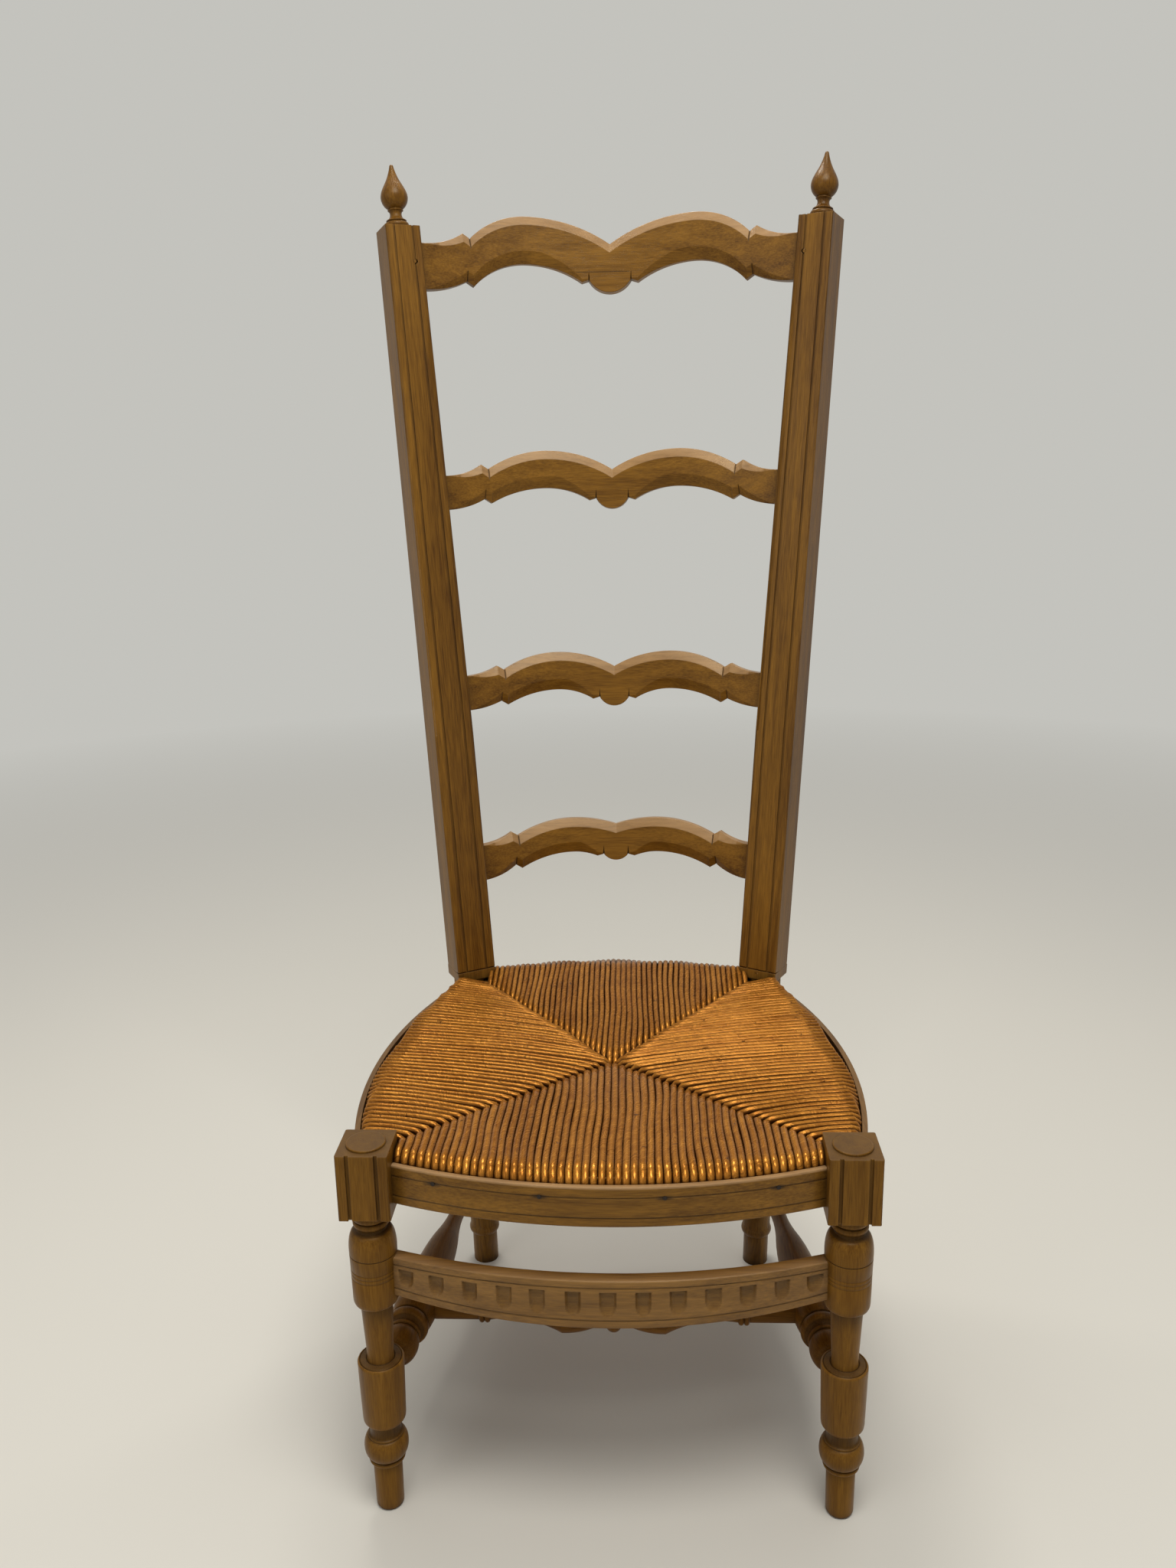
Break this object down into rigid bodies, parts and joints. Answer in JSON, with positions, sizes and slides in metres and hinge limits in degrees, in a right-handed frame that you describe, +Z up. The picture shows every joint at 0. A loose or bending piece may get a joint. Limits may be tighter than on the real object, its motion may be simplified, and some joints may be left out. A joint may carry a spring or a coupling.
{
  "type": "nursing chair",
  "caption": "Low-seated ladder-back nursing chair with a woven rush seat, turned front legs and stretchers, bowed shaped slats and flame finials; an armless chair to sit on.",
  "frame": {"origin": "on the floor, midway across the chair's width and depth", "axes": "+Z up, the sitter faces -Y, +X is the sitter's left; X = 0 is the chair's plane of symmetry"},
  "size_m": [0.4618, 0.5352, 1.1585],
  "materials": {
    "wood": "satin",
    "rush": "satin",
    "nail_iron": "matt"
  },
  "bodies": {
    "root": {"apron_nails": "nail_iron", "crest_pins": "wood", "crest_slat": "wood", "cross_stretcher": "wood", "edging_nails": "nail_iron", "finial_left": "wood", "finial_right": "wood", "front_apron": "wood", "front_leg_left": "wood", "front_leg_right": "wood", "front_seat_rail": "wood", "front_stretcher": "wood", "lower_slat": "wood", "middle_slat": "wood", "rear_post_left": "wood", "rear_post_right": "wood", "rear_seat_rail": "wood", "rush_seat": "rush", "side_edging_left": "wood", "side_edging_right": "wood", "side_seat_rail_left": "wood", "side_seat_rail_right": "wood", "side_stretcher_left": "wood", "side_stretcher_right": "wood", "upper_slat": "wood"}
  },
  "joints": []
}
